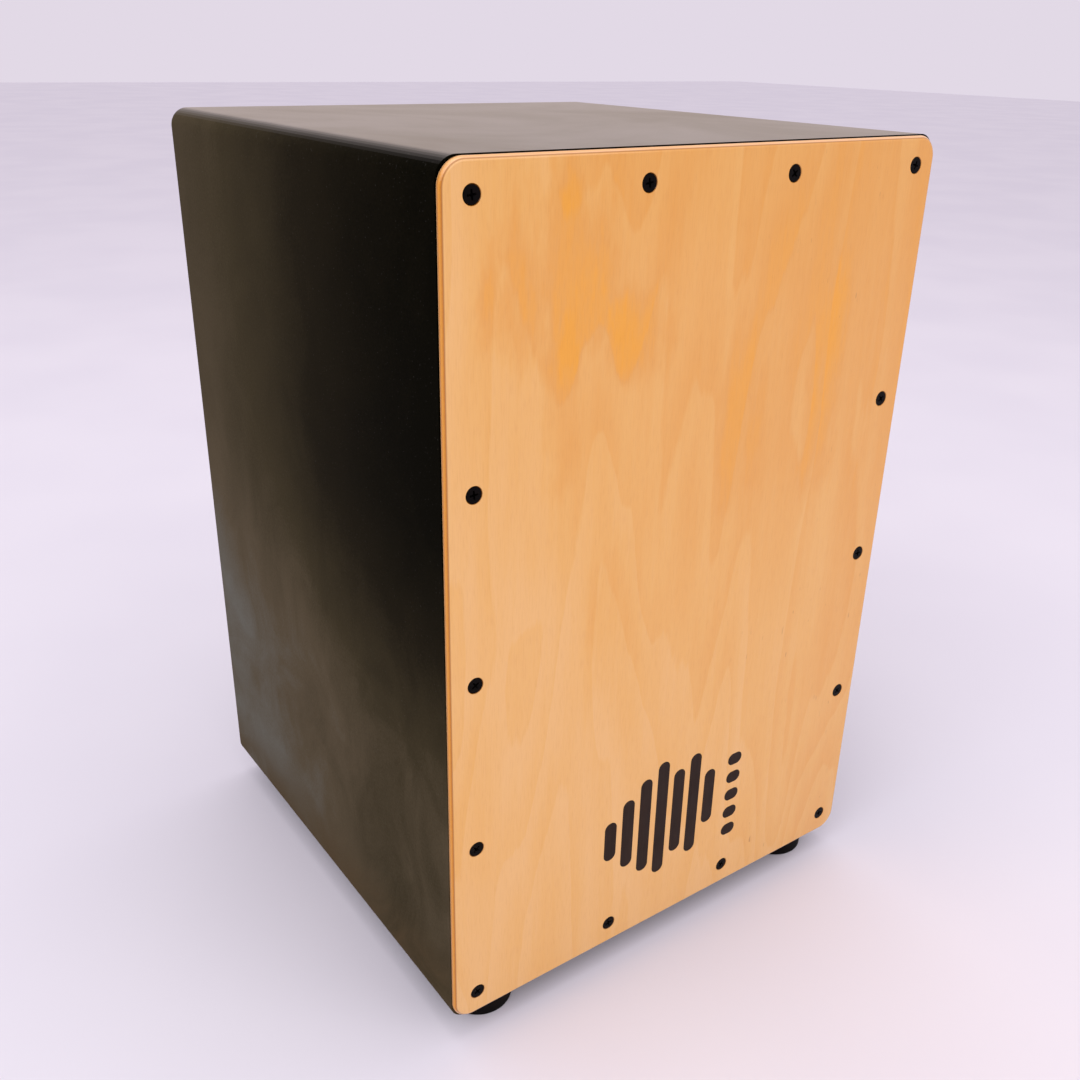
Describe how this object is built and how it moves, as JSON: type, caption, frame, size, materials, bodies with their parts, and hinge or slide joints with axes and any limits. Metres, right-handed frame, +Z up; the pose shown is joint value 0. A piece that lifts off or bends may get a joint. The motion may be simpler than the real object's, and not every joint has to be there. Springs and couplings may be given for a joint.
{
  "type": "cajon",
  "caption": "Box drum with a screwed plywood playing plate, a black painted casing, tunable snare strings, a rear sound hole and rubber feet.",
  "frame": {"origin": "on the floor under the middle of the drum's outer box", "axes": "+Z up, -Y out of the playing plate, +X to the right of someone who faces the playing plate"},
  "size_m": [0.3, 0.301, 0.458],
  "materials": {
    "veneer": "satin lacquered light maple veneer with a soft flame figure",
    "casing_paint": "matt black paint on fibreboard",
    "bare_wood": "bare sanded pine",
    "black_steel": "black zinc",
    "plain_steel": "bright zinc",
    "string_steel": "drawn steel wire",
    "carriage_brass": "sawn brass bar",
    "foot_rubber": "matt black rubber",
    "felt": "pressed grey wool felt"
  },
  "bodies": {
    "casing": {"back_bottom_batten": "bare_wood", "back_left_batten": "bare_wood", "back_panel": "casing_paint", "back_right_batten": "bare_wood", "back_top_batten": "bare_wood", "bottom_panel": "casing_paint", "carriage_guide": "bare_wood", "foot_front_left": "foot_rubber", "foot_front_right": "foot_rubber", "foot_rear_left": "foot_rubber", "foot_rear_right": "foot_rubber", "foot_screw_front_left": "black_steel", "foot_screw_front_right": "black_steel", "foot_screw_rear_left": "black_steel", "foot_screw_rear_right": "black_steel", "foot_washer_front_left": "plain_steel", "foot_washer_front_right": "plain_steel", "foot_washer_rear_left": "plain_steel", "foot_washer_rear_right": "plain_steel", "front_bottom_batten": "bare_wood", "front_left_batten": "bare_wood", "front_plate": "veneer", "front_right_batten": "bare_wood", "front_top_batten": "bare_wood", "guide_screw_left": "black_steel", "guide_screw_right": "black_steel", "left_side_panel": "casing_paint", "plate_screw_bottom_05": "black_steel", "plate_screw_bottom_06": "black_steel", "plate_screw_bottom_07": "black_steel", "plate_screw_bottom_08": "black_steel", "plate_screw_left_09": "black_steel", "plate_screw_left_10": "black_steel", "plate_screw_left_11": "black_steel", "plate_screw_right_12": "black_steel", "plate_screw_right_13": "black_steel", "plate_screw_right_14": "black_steel", "plate_screw_top_01": "black_steel", "plate_screw_top_02": "black_steel", "plate_screw_top_03": "black_steel", "plate_screw_top_04": "black_steel", "rail_screw_left": "black_steel", "rail_screw_right": "black_steel", "right_side_panel": "casing_paint", "snare_string_left_inner": "string_steel", "snare_string_left_outer": "string_steel", "snare_string_right_inner": "string_steel", "snare_string_right_outer": "string_steel", "string_anchor_rail": "bare_wood", "string_felt": "felt", "top_panel": "casing_paint", "tuning_bush_left": "plain_steel", "tuning_bush_right": "plain_steel"},
    "left_bolt": {"tuning_bolt_left": "black_steel"},
    "right_bolt": {"tuning_bolt_right": "black_steel"},
    "left_carriage": {"tuning_carriage_left": "carriage_brass"},
    "right_carriage": {"tuning_carriage_right": "carriage_brass"}
  },
  "joints": [
    {"name": "left_bolt_turn", "type": "hinge", "parent": "casing", "child": "left_bolt", "pos_m": [-0.03, -0.1375, 0.0135], "axis": [0, 0, 1], "range_deg": [-720, 360]},
    {"name": "left_carriage_slide", "type": "slide", "parent": "casing", "child": "left_carriage", "axis": [0, 0, -1], "range_m": [-0.002, 0.001], "deforming": ["snare_string_left_outer", "snare_string_left_inner"]},
    {"name": "right_bolt_turn", "type": "hinge", "parent": "casing", "child": "right_bolt", "pos_m": [0.03, -0.1375, 0.0135], "axis": [0, 0, 1], "range_deg": [-720, 360]},
    {"name": "right_carriage_slide", "type": "slide", "parent": "casing", "child": "right_carriage", "axis": [0, 0, -1], "range_m": [-0.002, 0.001], "deforming": ["snare_string_right_outer", "snare_string_right_inner"]}
  ],
  "couplings": [
    {"joint": "left_bolt_turn", "follows": "left_carriage_slide", "rad_per_m": 6283.2},
    {"joint": "right_bolt_turn", "follows": "right_carriage_slide", "rad_per_m": 6283.2}
  ]
}
